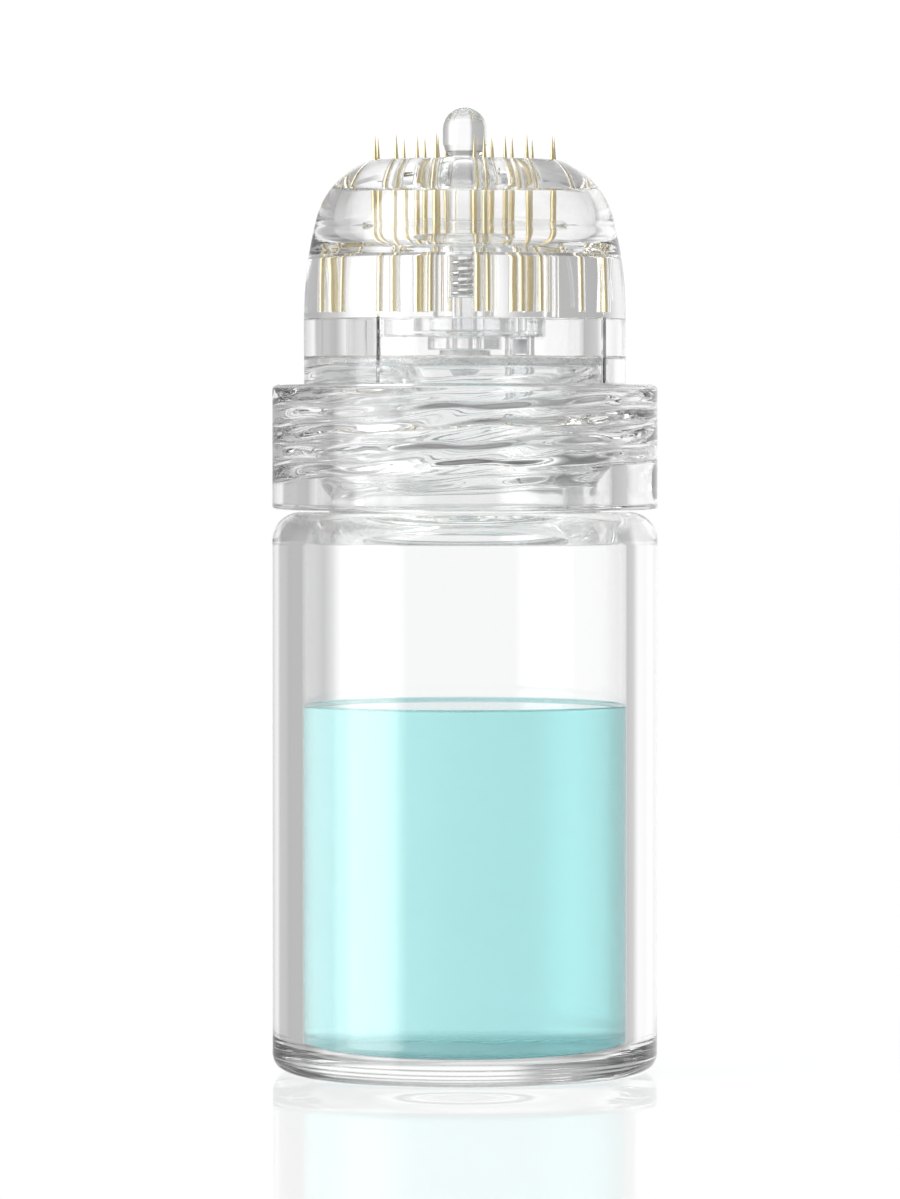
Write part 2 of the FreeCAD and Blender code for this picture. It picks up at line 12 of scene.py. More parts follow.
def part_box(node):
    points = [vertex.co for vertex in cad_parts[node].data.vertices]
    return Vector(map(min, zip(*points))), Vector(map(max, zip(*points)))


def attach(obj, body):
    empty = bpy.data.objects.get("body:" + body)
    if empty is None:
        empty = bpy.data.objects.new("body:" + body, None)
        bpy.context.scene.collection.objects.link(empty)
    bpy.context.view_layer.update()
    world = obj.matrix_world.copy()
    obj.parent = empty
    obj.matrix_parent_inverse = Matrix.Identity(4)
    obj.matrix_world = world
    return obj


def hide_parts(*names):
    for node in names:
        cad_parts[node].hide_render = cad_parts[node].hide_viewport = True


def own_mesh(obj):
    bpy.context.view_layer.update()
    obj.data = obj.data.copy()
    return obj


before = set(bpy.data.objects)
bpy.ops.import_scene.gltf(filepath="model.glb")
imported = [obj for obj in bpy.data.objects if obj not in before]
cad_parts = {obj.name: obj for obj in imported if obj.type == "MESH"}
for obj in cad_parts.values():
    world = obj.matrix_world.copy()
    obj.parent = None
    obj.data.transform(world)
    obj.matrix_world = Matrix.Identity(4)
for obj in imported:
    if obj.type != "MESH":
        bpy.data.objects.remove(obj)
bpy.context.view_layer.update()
MM = 0.001
SEGMENTS = 240
SAME = 1e-6  # lengths in mm that differ by less are the same


# ---- outlines ------------------------------------------------------------------------------------


def extent(node):
    """(outer radius, lowest z, highest z) of a round CAD node, in mm."""
    low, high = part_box(node)
    return (high.y - low.y) / 2 / MM, low.z / MM, high.z / MM


def corner(r, z, radius=0.0):
    """A point of an outline, rounded with the radius given."""
    return {"at": np.array([r, z], float), "round": radius}


def bend(r, z, radius, turn, steps):
    """A point that an arc leads to. turn is +1 for anticlockwise, -1 for clockwise."""
    return {"at": np.array([r, z], float), "round": 0.0, "arc": (radius, turn, steps)}


def column(r, low, high, step):
    """Closely spaced points up (or down) a wall, for a thread to be raised from."""
    count = int(abs(high - low) / step)
    return [corner(r, z) for z in np.linspace(low, high, count)]


def arc_steps(start, end, radius, turn, steps):
    """Points of an arc between its two ends, without the ends."""
    chord = end - start
    half = np.linalg.norm(chord) / 2
    side = np.array([-chord[1], chord[0]]) / (2 * half) * turn
    centre = (start + end) / 2 + side * math.sqrt(max(radius**2 - half**2, 0.0))
    a0 = math.atan2(*(start - centre)[::-1])
    a1 = math.atan2(*(end - centre)[::-1])
    if turn > 0 and a1 < a0:
        a1 += 2 * math.pi
    if turn < 0 and a1 > a0:
        a1 -= 2 * math.pi
    between = np.linspace(a0, a1, steps + 1)[1:-1]
    return [centre + radius * np.array([math.cos(a), math.sin(a)]) for a in between]


def fillet_steps(before, at, after, radius):
    """Points of a rounded corner. A rounding takes up less than half of each side beside it."""
    straight, side_share, step_angle = 0.02, 0.49, math.radians(9)
    u = (before - at) / np.linalg.norm(before - at)
    v = (after - at) / np.linalg.norm(after - at)
    angle = math.acos(float(np.clip(u @ v, -1, 1)))
    if radius <= 0 or angle > math.pi - straight:
        return [at]
    limits = [side_share * np.linalg.norm(side - at) for side in (before, after)]
    reach = min(radius / math.tan(angle / 2), *limits)
    radius = reach * math.tan(angle / 2)
    start, end = at + u * reach, at + v * reach
    turn = 1 if u[0] * v[1] - u[1] * v[0] < 0 else -1
    steps = max(4, int((math.pi - angle) / step_angle))
    return [start, *arc_steps(start, end, radius, turn, steps), end]


def outline(points, loop):
    """Turns corners and bends into a list of (r, z) points, with no point twice in a row."""
    shortest = 1e-4
    flat = []
    for item in points:
        flat += item if isinstance(item, list) else [item]
    path = []
    count = len(flat)
    for i, point in enumerate(flat):
        before = flat[i - 1]["at"]
        if "arc" in point and (loop or i > 0):
            path += arc_steps(before, point["at"], *point["arc"])
        if point["round"] > 0 and (loop or 0 < i < count - 1):
            path += fillet_steps(before, point["at"], flat[(i + 1) % count]["at"], point["round"])
        else:
            path.append(point["at"])
    keep = [path[0]]
    for p in path[1:]:
        if np.linalg.norm(p - keep[-1]) > shortest:
            keep.append(p)
    return np.array(keep)


# ---- meshes --------------------------------------------------------------------------------------


def corner_normals(vertices, faces, groups):
    """A normal for each face corner, weighted by area, so that broad faces stay flat beside small
    roundings. Only faces of one group are smoothed together."""
    keys = [tuple(v + group * len(vertices) for v in face) for face, group in zip(faces, groups)]
    sums = np.zeros((len(vertices) * (max(groups) + 1), 3))
    for size in {len(face) for face in faces}:
        ring = np.array([face for face in faces if len(face) == size])
        key = np.array([face for face in keys if len(face) == size])
        points = vertices[ring]
        area = np.cross(points, np.roll(points, -1, axis=1)).sum(axis=1)
        for k in range(size):
            np.add.at(sums, key[:, k], area)
    normals = sums[np.concatenate(keys)]
    return normals / np.maximum(np.linalg.norm(normals, axis=1, keepdims=True), 1e-30)


def add_mesh(name, vertices, faces, groups=None):
    """A smooth mesh object from vertices in mm."""
    vertices = np.asarray(vertices, float)
    mesh = bpy.data.meshes.new(name)
    mesh.from_pydata([tuple(v) for v in vertices * MM], [], faces)
    mesh.shade_smooth()
    normals = corner_normals(vertices, faces, groups or [0] * len(faces))
    mesh.normals_split_custom_set([tuple(n) for n in normals])
    piece = bpy.data.objects.new(name, mesh)
    bpy.context.scene.collection.objects.link(piece)
    return piece


def ring_of(count, first):
    """The numbers of the next ring of vertices."""
    return list(range(first, first + count))


def lathe(
    name, points, loop=False, shape=None, angles=None, centre=(0.0, 0.0), segments=SEGMENTS, holes=()
):
    """Turns an anticlockwise outline about the Z axis. shape(r, z, angles) may change the radius along
    the turn. holes are upright and round: (x, y, radius, lower end, upper end)."""
    path = outline(points, loop)
    if angles is None:
        angles = np.linspace(0, 2 * math.pi, segments, endpoint=False)
    count = len(angles)
    rows, vertices, faces = [], [], []
    for r, z in path:
        if r < SAME:
            rows.append([len(vertices)] * count)
            vertices.append((centre[0], centre[1], z))
            continue
        radii = np.full(count, r) if shape is None else shape(r, z, angles)
        rows.append(ring_of(count, len(vertices)))
        x, y = centre[0] + radii * np.cos(angles), centre[1] + radii * np.sin(angles)
        vertices += zip(x, y, np.full(count, z))
    walls, rims = drill_walls(path, vertices, holes)
    for i in range(len(rows) if loop else len(rows) - 1):
        here, there = rows[i], rows[(i + 1) % len(rows)]
        if i in rims:
            faces += pierced_band(vertices, here, there, rims[i])
            continue
        for j in range(count):
            k = (j + 1) % count
            ring = (here[j], here[k], there[k], there[j])
            face = tuple(dict.fromkeys(ring))
            if len(face) > 2:
                faces.append(face)
    groups = [0] * len(faces)
    for number, wall in enumerate(walls, 1):
        faces += wall
        groups += [number] * len(wall)
    return add_mesh(name, vertices, faces, groups)


def drill_walls(path, vertices, holes):
    """The walls of the holes, and the rims that each flat band of the outline gets. An end that meets
    no flat band is closed."""
    sides = 20
    walls, rims = [], {}
    around = np.linspace(0, 2 * math.pi, sides, endpoint=False)
    for x, y, radius, low, high in holes:
        away = math.hypot(x, y)
        ends = []
        for z in (low, high):
            ends.append(ring_of(sides, len(vertices)))
            vertices += zip(x + radius * np.cos(around), y + radius * np.sin(around), np.full(sides, z))
            for i, (here, there) in enumerate(zip(path, np.roll(path, -1, axis=0))):
                reach = sorted((here[0], there[0]))
                flat = abs(here[1] - z) < SAME and abs(there[1] - z) < SAME
                if flat and reach[0] < away - radius and away + radius < reach[1]:
                    rims.setdefault(i, []).append(ends[-1])
                    break
            else:
                walls.append([tuple(ends[-1]) if z == low else tuple(reversed(ends[-1]))])
        lower, upper = ends
        wall = [(lower[k - 1], upper[k - 1], upper[k], lower[k]) for k in range(sides)]
        walls.append(wall)
    return walls, rims


def pierced_band(vertices, here, there, rims):
    """A flat ring between two rows of points, with holes where the rims are. A triangle whose middle is
    in a hole, or inside the ring's inner edge, is left out. The shares allow for both being polygons."""
    hole_share, edge_share, tolerance = 0.985, 0.99985, 1e-7
    loops = [here, there, *rims]
    index = [v for loop in loops for v in loop]
    spots = [Vector(vertices[v][:2]) for v in index]
    edges, start = [], 0
    for loop in loops:
        edges += [(start + k, start + (k + 1) % len(loop)) for k in range(len(loop))]
        start += len(loop)
    made, _, triangles, origin, _, _ = delaunay_2d_cdt(spots, edges, [], 0, tolerance)
    inner = min(spots[0].length, spots[len(here)].length)
    centres = [sum((Vector(vertices[v][:2]) for v in rim), Vector((0, 0))) / len(rim) for rim in rims]
    radii = [(Vector(vertices[rim[0]][:2]) - centre).length for rim, centre in zip(rims, centres)]
    up = spots[0].length > spots[len(here)].length
    faces = []
    for triangle in triangles:
        a, b, c = (made[v] for v in triangle)
        middle = (a + b + c) / 3
        inside = any((middle - at).length < hole_share * radius for at, radius in zip(centres, radii))
        if middle.length < inner * edge_share or inside:
            continue
        face = tuple(index[origin[v][0]] for v in triangle)
        turns_left = (b - a).cross(c - a) > 0
        faces.append(face if turns_left == up else tuple(reversed(face)))
    return faces


def smooth_step(x):
    """Rises from 0 to 1 with a level start and end."""
    x = np.clip(x, 0, 1)
    return x * x * (3 - 2 * x)


THREAD_PITCH, THREAD_START = 2.4, 36.7
THREAD_ROOT, THREAD_CREST = 1.2, 0.0  # half of a ridge's width at its foot and at its top
THREAD_DEPTH = 0.7
NECK_CLIMB, BASE_CLIMB = 6.2, 6.5  # how far up the neck's ridge and the base's ridge go
THREAD_STEP = 0.09  # between the rows of points that a ridge is raised from


def ridge(z, angles, phase, rise):
    """Height from 0 to 1 of a right-handed helical ridge at height z, fading in and out at its ends.
    It wanders a little, as moulded threads do."""
    pitch, root, crest, fade = THREAD_PITCH, THREAD_ROOT, THREAD_CREST, 0.12
    turn = np.mod(angles - phase, 2 * math.pi) / (2 * math.pi)
    z = z + 0.05 * np.sin(5 * angles + 2 * z) + 0.03 * np.sin(13 * angles - 3 * z + phase)
    height = np.zeros(len(angles))
    for lap in range(int(rise / pitch) + 1):
        climbed = pitch * (turn + lap)
        away = np.abs(z - THREAD_START - climbed)
        body = smooth_step((root - away) / (root - crest))
        ends = smooth_step(climbed / fade) * smooth_step((rise - climbed) / fade)
        height = np.maximum(height, body * ends)
    return height


# ---- materials -----------------------------------------------------------------------------------


def new_material(name):
    """A node material: (material, its tree, its Principled shader)."""
    material = bpy.data.materials.new(name)
    material.use_nodes = True
    tree = material.node_tree
    return material, tree, tree.nodes["Principled BSDF"]


def node(tree, kind, **settings):
    """Adds a node. A setting is the value of the input of that name, or else a property of the node."""
    made = tree.nodes.new(kind)
    for key, value in settings.items():
        if key in made.inputs:
            made.inputs[key].default_value = value
        else:
            setattr(made, key, value)
    return made


def noise(tree, scale, detail, stretch=(1, 1, 1)):
    """Noise in the object's own coordinates. scale is in cycles per metre."""
    place = node(tree, "ShaderNodeTexCoord")
    mapping = node(tree, "ShaderNodeMapping")
    mapping.inputs["Scale"].default_value = stretch
    texture = node(tree, "ShaderNodeTexNoise", Scale=scale, Detail=detail, Roughness=0.5)
    tree.links.new(place.outputs["Object"], mapping.inputs["Vector"])
    tree.links.new(mapping.outputs["Vector"], texture.inputs["Vector"])
    return texture.outputs["Fac"]


def spread(tree, source, low, high, start=0.3, end=0.7):
    """Maps start..end of the source to low..high. As it stands, start..end is the middle of a noise."""
    made = node(tree, "ShaderNodeMapRange")
    for key, value in (("From Min", start), ("From Max", end), ("To Min", low), ("To Max", high)):
        made.inputs[key].default_value = value
    tree.links.new(source, made.inputs["Value"])
    return made.outputs["Result"]


def tint(tree, source, first, second):
    """A colour between first and second."""
    made = node(tree, "ShaderNodeMix", data_type="RGBA")
    made.inputs["A"].default_value = (*first, 1)
    made.inputs["B"].default_value = (*second, 1)
    tree.links.new(source, made.inputs["Factor"])
    return made.outputs["Result"]


def bump(tree, shader, source, strength, distance):
    """Lets the source raise and lower the surface, by distance in metres."""
    made = node(tree, "ShaderNodeBump", Strength=strength, Distance=distance)
    tree.links.new(source, made.inputs["Height"])
    tree.links.new(made.outputs["Normal"], shader.inputs["Normal"])


def clear(
    name, ior, first, second, rough, waves, stretch=(1, 1, 1), depth=2e-5, strength=0.2, clarity=1.0
):
    """A clear material with faint colour, haze and ripple of its own. Below a clarity of 1 it is a
    little milky. The haze is finer than the ripple."""
    haze_waves = waves * 6
    material, tree, shader = new_material(name)
    shader.inputs["Transmission Weight"].default_value = clarity
    shader.inputs["IOR"].default_value = ior
    soft = noise(tree, waves, 2.0, stretch)
    tree.links.new(tint(tree, soft, first, second), shader.inputs["Base Color"])
    haze = noise(tree, haze_waves, 4.0, stretch)
    tree.links.new(spread(tree, haze, *rough), shader.inputs["Roughness"])
    bump(tree, shader, soft, strength, depth)
    return material


def absorb(material, colour, density):
    """Colours the light that goes through the material, by how far it goes."""
    tree = material.node_tree
    volume = node(tree, "ShaderNodeVolumeAbsorption", Density=density, Color=(*colour, 1))
    out = next(n for n in tree.nodes if n.type == "OUTPUT_MATERIAL")
    tree.links.new(volume.outputs["Volume"], out.inputs["Volume"])


def roughen_and_paint_bottom_shade(material, colour, rough, heights):
    """Darkens a material's colour towards its lower end, as painted shade, and makes it rougher there.
    heights are (metres, how far).
    """
    tree = material.node_tree
    shader = tree.nodes["Principled BSDF"]
    place = node(tree, "ShaderNodeTexCoord")
    split = node(tree, "ShaderNodeSeparateXYZ")
    tree.links.new(place.outputs["Object"], split.inputs[0])
    (low, full), (high, none) = heights
    depth = spread(tree, split.outputs["Z"], full, none, low, high)
    # Base Color takes painted shade near the bottom; Roughness takes real roughness there.
    for socket, value in (("Base Color", (*colour, 1)), ("Roughness", (rough, rough, rough, 1))):
        mix = node(tree, "ShaderNodeMix", data_type="RGBA")
        mix.inputs["B"].default_value = value
        tree.links.new(depth, mix.inputs["Factor"])
        tree.links.new(shader.inputs[socket].links[0].from_socket, mix.inputs["A"])
        tree.links.new(mix.outputs["Result"], shader.inputs[socket])


def metal(name, first, second, rough, grain, scratches):
    """A metal with patches and fine scratches that run along Z."""
    along = (1, 1, 0.15)
    material, tree, shader = new_material(name)
    shader.inputs["Metallic"].default_value = 1.0
    patch = noise(tree, grain, 4.0)
    tree.links.new(tint(tree, patch, first, second), shader.inputs["Base Color"])
    tree.links.new(spread(tree, patch, *rough), shader.inputs["Roughness"])
    bump(tree, shader, noise(tree, scratches, 3.0, along), strength=0.25, distance=4e-6)
    return material


def rubbery(name, first, second, see_through, rough, grain):
    """A soft, grainy material that lets some light through."""
    rubber_ior = 1.41
    material, tree, shader = new_material(name)
    shader.inputs["Transmission Weight"].default_value = see_through
    shader.inputs["IOR"].default_value = rubber_ior
    patch = noise(tree, grain, 5.0)
    tree.links.new(tint(tree, patch, first, second), shader.inputs["Base Color"])
    tree.links.new(spread(tree, patch, *rough), shader.inputs["Roughness"])
    bump(tree, shader, patch, strength=0.2, distance=1e-5)
    return material


PLASTIC_IOR = 1.49

vial_glass = clear(
    "vial_glass", 1.5, (0.985, 0.99, 0.988), (1, 1, 1), rough=(0.0, 0.004), waves=45.0, depth=1e-5
)
serum_liquid = clear(
    "serum_liquid",
    1.2,
    (0.7, 0.985, 0.99),
    (0.74, 0.995, 1),
    rough=(0.0, 0.002),
    waves=30.0,
    depth=4e-6,
    clarity=0.8,
)
absorb(serum_liquid, (0.01, 0.93, 0.94), 16.0)
# The serum's colour darkens towards its bottom: painted shade. Its rougher bottom is real roughness.
roughen_and_paint_bottom_shade(serum_liquid, (0.26, 0.5, 0.52), 0.5, [(0.0016, 1.0), (0.0021, 0.0)])
clear_plastic = clear(
    "clear_plastic",
    1.585,
    (0.975, 0.975, 0.98),
    (1, 1, 0.995),
    rough=(0.0, 0.03),
    waves=300.0,
    stretch=(1, 1, 0.5),
    depth=2.5e-5,
    strength=0.6,
)
plate_plastic = clear(
    "plate_plastic", PLASTIC_IOR, (0.97, 0.965, 0.94), (0.99, 0.985, 0.97), rough=(0.02, 0.12), waves=400.0
)
valve_plastic = clear(
    "valve_plastic", PLASTIC_IOR, (0.985, 0.985, 0.985), (1, 1, 1), rough=(0.0, 0.03), waves=500.0
)
sleeve_plastic = clear(
    "sleeve_plastic", PLASTIC_IOR, (0.96, 0.97, 0.98), (0.99, 0.99, 1), rough=(0.01, 0.08), waves=500.0
)
needle_gold = metal("needle_gold", (0.78, 0.66, 0.38), (0.93, 0.82, 0.54), (0.28, 0.48), 900.0, 9000.0)
spring_steel = metal("spring_steel", (0.6, 0.61, 0.62), (0.78, 0.78, 0.79), (0.16, 0.3), 2000.0, 12000.0)
silicone = rubbery("silicone", (0.86, 0.87, 0.87), (0.95, 0.95, 0.95), 0.75, (0.18, 0.35), 700.0)
filter_felt = rubbery("filter_felt", (0.85, 0.85, 0.83), (0.97, 0.97, 0.96), 0.0, (0.8, 0.95), 4000.0)


def dress(item, material):
    """Gives a piece, or a carried-over CAD node, its one material."""
    item.data.materials.clear()
    item.data.materials.append(material)


def finish_piece(piece, material, slot, body, *nodes):
    """Gives a piece its material and body, and hides the CAD nodes that it stands for. slot is not used."""
    dress(piece, material)
    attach(piece, body)
    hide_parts(*nodes)


# ---- the vial ------------------------------------------------------------------------------------


def build_vial():
    radius, foot, rim = extent("glass_vial")
    neck, bore, mouth = 8.3, 10.1, 6.4
    shoulder, ceiling, floor = 34.9, 33.9, 1.25
    dish, dish_radius, foot_ring = foot + 0.35, 8.3, 9.1
    unthreaded = 0.45

    def neck_thread(r, z, angles):
        if abs(r - neck) > SAME or z < shoulder:
            return np.full(len(angles), r)
        rise = ridge(z, angles, math.pi, NECK_CLIMB)
        return r + THREAD_DEPTH * rise

    vial = lathe(
        "vial_glass_body",
        [
            corner(0, dish),
            corner(dish_radius, dish, 0.6),
            corner(foot_ring, foot, 0.5),
            corner(radius, foot, 1.2),
            corner(radius, shoulder, 2.25),
            corner(neck, shoulder, 0.35),
            column(neck, shoulder + unthreaded, rim - unthreaded, THREAD_STEP),
            corner(neck, rim, 0.4),
            corner(mouth, rim, 0.3),
            corner(mouth, ceiling, 0.7),
            corner(bore, ceiling, 1.1),
            corner(bore, floor, 1.0),
            corner(0, floor),
        ],
        shape=neck_thread,
    )
    finish_piece(vial, vial_glass, "vial_glass", "vial", "glass_vial")


def build_serum():
    """The serum creeps up the glass a little, in a meniscus."""
    radius, bottom, level = extent("serum")
    creep, reach, meniscus = 0.18, 0.75, 1.6
    serum = lathe(
        "serum_liquid_fill",
        [
            corner(0, bottom),
            corner(radius, bottom, 1.0),
            corner(radius, level + creep, 0.03),
            bend(radius - reach, level, meniscus, -1, 10),
            corner(0, level),
        ],
    )
    finish_piece(serum, serum_liquid, "serum_liquid", "vial", "serum")


def build_gasket():
    radius, bottom, top = extent("neck_gasket")
    bore, edge = 6.2, 0.12
    sides = [(bore, bottom), (radius, bottom), (radius, top), (bore, top)]
    gasket = lathe("neck_gasket_ring", [corner(r, z, edge) for r, z in sides], loop=True)
    finish_piece(gasket, silicone, "silicone", "seal", "neck_gasket")


# ---- the head ------------------------------------------------------------------------------------

NEEDLES = 20
NEEDLE_HOLE, AIR_HOLE = 0.2, 0.35  # radii
SKIRT_RADIUS, SKIRT_TOP = 10.03, 46.9
FLANK_ARC = 25.0


def flank_radius(z):
    """Radius of the head's outside above the skirt, where it starts to curve in."""
    return SKIRT_RADIUS - FLANK_ARC + math.sqrt(FLANK_ARC**2 - (z - SKIRT_TOP) ** 2)


def needle_holes(low, high):
    """Holes round the needles, with a little air between."""
    holes = []
    for number in range(1, NEEDLES + 1):
        a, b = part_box(f"needle_{number:02d}")
        holes.append(((a.x + b.x) / 2 / MM, (a.y + b.y) / 2 / MM, NEEDLE_HOLE, low, high))
    return holes


def vent_centre():
    """(x, y) of the vent tube, in mm."""
    low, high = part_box("vent_tube")
    return (low.x + high.x) / 2 / MM, (low.y + high.y) / 2 / MM


def air_hole(low, high):
    """The air hole above the vent tube."""
    return [(*vent_centre(), AIR_HOLE, low, high)]


def build_base():
    radius, bottom, top = extent("threaded_base")
    skirt, web, bore, seam = SKIRT_RADIUS, SKIRT_TOP, 9.2, top - 0.5
    collar_top, ledge, mouth = 42.8, 44.45, 9.4
    tongue_out, tongue_in, stem_bore, pocket = 8.1, 7.3, 1.25, 7.4
    slit_angles = [math.radians(58.2 + 90 * k) for k in range(4)]
    slit_half, slit_depth = 0.08 / skirt, 0.3
    aside = 0.001  # keeps the end rows of the skirt and the bore out of grooved

    def grooved(r, z, angles):
        """Slits in the rows of the skirt and a thread in the rows of the bore."""
        radii = np.full(len(angles), r)
        if abs(r - skirt) < SAME and collar_top < z < web:
            for at in slit_angles:
                away = np.abs(np.mod(angles - at + math.pi, 2 * math.pi) - math.pi)
                radii = np.where(away <= slit_half, r - slit_depth, radii)
        if abs(r - bore) < SAME and z < ledge:
            rise = ridge(z, angles, 0.0, BASE_CLIMB)
            radii = r - THREAD_DEPTH * rise
        return radii

    sides = [share * slit_half for share in (-1.1, -0.99, 0.99, 1.1)]
    edges = [at + side for at in slit_angles for side in sides]
    even = np.linspace(0, 2 * math.pi, SEGMENTS, endpoint=False)
    angles = np.sort(np.mod(np.concatenate([even, edges]), 2 * math.pi))
    base = lathe(
        "head_base_shell",
        [
            corner(mouth, bottom, 0.06),
            corner(radius, bottom, 0.2),
            corner(radius, collar_top, 0.35),
            corner(skirt + aside, collar_top, 0.1),
            corner(skirt, collar_top + 0.12),
            corner(skirt, web - 0.02),
            corner(skirt + aside, web),
            bend(flank_radius(seam), seam, FLANK_ARC, 1, 14),
            corner(tongue_out, seam, 0.08),
            corner(tongue_out, top, 0.1),
            corner(tongue_in, top, 0.1),
            corner(tongue_in, seam, 0.08),
            corner(stem_bore, seam, 0.1),
            corner(stem_bore, web, 0.1),
            corner(pocket, web, 0.1),
            corner(pocket, ledge, 0.12),
            corner(bore + aside, ledge, 0.12),
            column(bore, ledge - 0.2, bottom + 0.25, THREAD_STEP),
        ],
        loop=True,
        shape=grooved,
        angles=angles,
        holes=needle_holes(extent("needle_01")[1] - 0.02, seam) + air_hole(web, seam),
    )
    finish_piece(base, clear_plastic, "clear_plastic", "head", "threaded_base")


def build_dome():
    _, seam, top = extent("dome_cap")
    flank_top, flat_rim, crown_arc = 53.0, 5.94, 5.1
    bore, bore_top, bore_arc = 8.2, 52.4, 4.0
    ceiling, plunger_hole = top - 2.2, 1.5
    inner_rim = bore - bore_arc + math.sqrt(bore_arc**2 - (ceiling - bore_top) ** 2)
    dome = lathe(
        "dome_shell",
        [
            corner(bore, seam),
            corner(flank_radius(seam), seam),
            bend(flank_radius(flank_top), flank_top, FLANK_ARC, 1, 10),
            bend(flat_rim, top, crown_arc, 1, 24),
            corner(plunger_hole, top, 0.12),
            corner(plunger_hole, ceiling, 0.1),
            corner(inner_rim, ceiling),
            bend(bore, bore_top, bore_arc, -1, 16),
        ],
        loop=True,
        holes=needle_holes(ceiling, top),
    )
    finish_piece(dome, clear_plastic, "clear_plastic", "head", "dome_cap")


def build_needle_plate():
    radius, low, high = extent("needle_plate")
    bore = 1.25
    plate = lathe(
        "needle_plate_disc",
        [
            corner(bore, low, 0.06),
            corner(radius, low, 0.1),
            corner(radius, high, 0.15),
            corner(bore, high, 0.1),
        ],
        loop=True,
        holes=needle_holes(low, high) + air_hole(low, high),
    )
    finish_piece(plate, plate_plastic, "plate_plastic", "head", "needle_plate")


def dress_needles():
    """The needles are the CAD's own meshes."""
    for name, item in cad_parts.items():
        if name.startswith("needle_") and name != "needle_plate":
            dress(item, needle_gold)


# ---- the plunger and valve -----------------------------------------------------------------------

STEM_STEP = 51.0  # height of the step in the stem that the spring pushes on


def build_plunger():
    radius, low, high = extent("plunger")
    stem, shaft, shaft_top, button = 0.5, 1.1, 57.0, 57.7
    plunger = lathe(
        "plunger_button",
        [
            corner(0, low),
            corner(stem, low, 0.08),
            corner(stem, STEM_STEP, 0.05),
            corner(shaft, STEM_STEP, 0.12),
            corner(shaft, shaft_top, 0.4),
            corner(radius, button, 0.4),
            corner(radius, high - radius),
            bend(0, high, radius, 1, 20),
        ],
        segments=120,
    )
    finish_piece(plunger, clear_plastic, "clear_plastic", "valve", "plunger")


def build_stopper():
    radius, low, high = extent("valve_stopper")
    tip, seat, socket, socket_floor = 0.45, high - 0.35, 0.52, 43.9
    stopper = lathe(
        "valve_stopper_cone",
        [
            corner(0, low),
            corner(tip, low, 0.3),
            corner(radius, seat, 0.12),
            corner(radius, high, 0.08),
            corner(socket, high, 0.05),
            corner(socket, socket_floor, 0.05),
            corner(0, socket_floor),
        ],
        segments=120,
    )
    finish_piece(stopper, silicone, "silicone", "valve", "valve_stopper")


def build_sleeve():
    _, low, high = extent("guide_sleeve")
    bore, tube, flange_radius, flange = 0.55, 1.2, 2.2, low + 0.8
    flutes, flute_at, flute_radius, near_bore = 3, 0.65, 0.2, 0.06

    def fluted(r, z, angles):
        """Widens the bore by three round grooves along its length."""
        radii = np.full(len(angles), r)
        if abs(r - bore) > near_bore:
            return radii
        for k in range(flutes):
            away = np.mod(angles - 2 * math.pi * k / flutes + math.pi, 2 * math.pi) - math.pi
            reach = flute_radius**2 - (flute_at * np.sin(away)) ** 2
            wide = flute_at * np.cos(away) + np.sqrt(np.maximum(reach, 0))
            radii = np.where((reach > 0) & (np.cos(away) > 0), np.maximum(radii, wide), radii)
        return radii

    sleeve = lathe(
        "guide_sleeve_tube",
        [
            corner(bore, low, 0.03),
            corner(flange_radius, low, 0.12),
            corner(flange_radius, flange, 0.1),
            corner(tube, flange, 0.05),
            corner(tube, high, 0.06),
            corner(bore, high, 0.03),
        ],
        loop=True,
        shape=fluted,
        segments=180,
    )
    finish_piece(sleeve, sleeve_plastic, "sleeve_plastic", "head", "guide_sleeve")


def build_vent_tube():
    low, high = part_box("vent_tube")
    bottom, top = low.z / MM, high.z / MM
    bore, tube, flange_radius, flange = 0.45, 0.93, 1.1, top - 0.23
    stem = lathe(
        "vent_tube_stem",
        [
            corner(bore, bottom, 0.08),
            corner(tube, bottom, 0.12),
            corner(tube, flange, 0.04),
            corner(flange_radius, flange, 0.04),
            corner(flange_radius, top, 0.08),
            corner(bore, top, 0.08),
        ],
        loop=True,
        centre=vent_centre(),
        segments=96,
    )
    finish_piece(stem, sleeve_plastic, "sleeve_plastic", "head", "vent_tube")
    dress(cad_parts["vent_filter"], filter_felt)


def build_valve_plate():
    radius, bottom, top = extent("valve_plate")
    under, pocket = 45.72, extent("guide_sleeve")[1] - 0.02
    bore, hub, pocket_radius, vent_hole = 0.8, 2.3, 2.22, 1.12
    plate = lathe(
        "valve_plate_disc",
        [
            corner(bore, bottom, 0.06),
            corner(hub, bottom, 0.08),
            corner(hub, under, 0.06),
            corner(radius, under, 0.22),
            corner(radius, top, 0.08),
            corner(pocket_radius, top, 0.04),
            corner(pocket_radius, pocket, 0.04),
            corner(bore, pocket, 0.06),
        ],
        loop=True,
        holes=[(*vent_centre(), vent_hole, under, top)],
    )
    finish_piece(plate, valve_plastic, "sleeve_plastic", "head", "valve_plate")


def spring_climb(low, high, wire, turns, steps):
    """Heights of the wire's middle along a coil with a closed, ground turn at each end."""
    closed, closed_rise = 0.75, 0.12
    climb = []
    for i in range(steps + 1):
        turn = turns * i / steps
        free = np.clip((turn - closed) / (turns - 2 * closed), 0, 1)
        tight = closed_rise * (min(turn, closed) + max(turn - turns + closed, 0)) / closed
        climb.append(low + wire + (high - low - 2 * wire - 2 * closed_rise) * free + tight)
    return climb


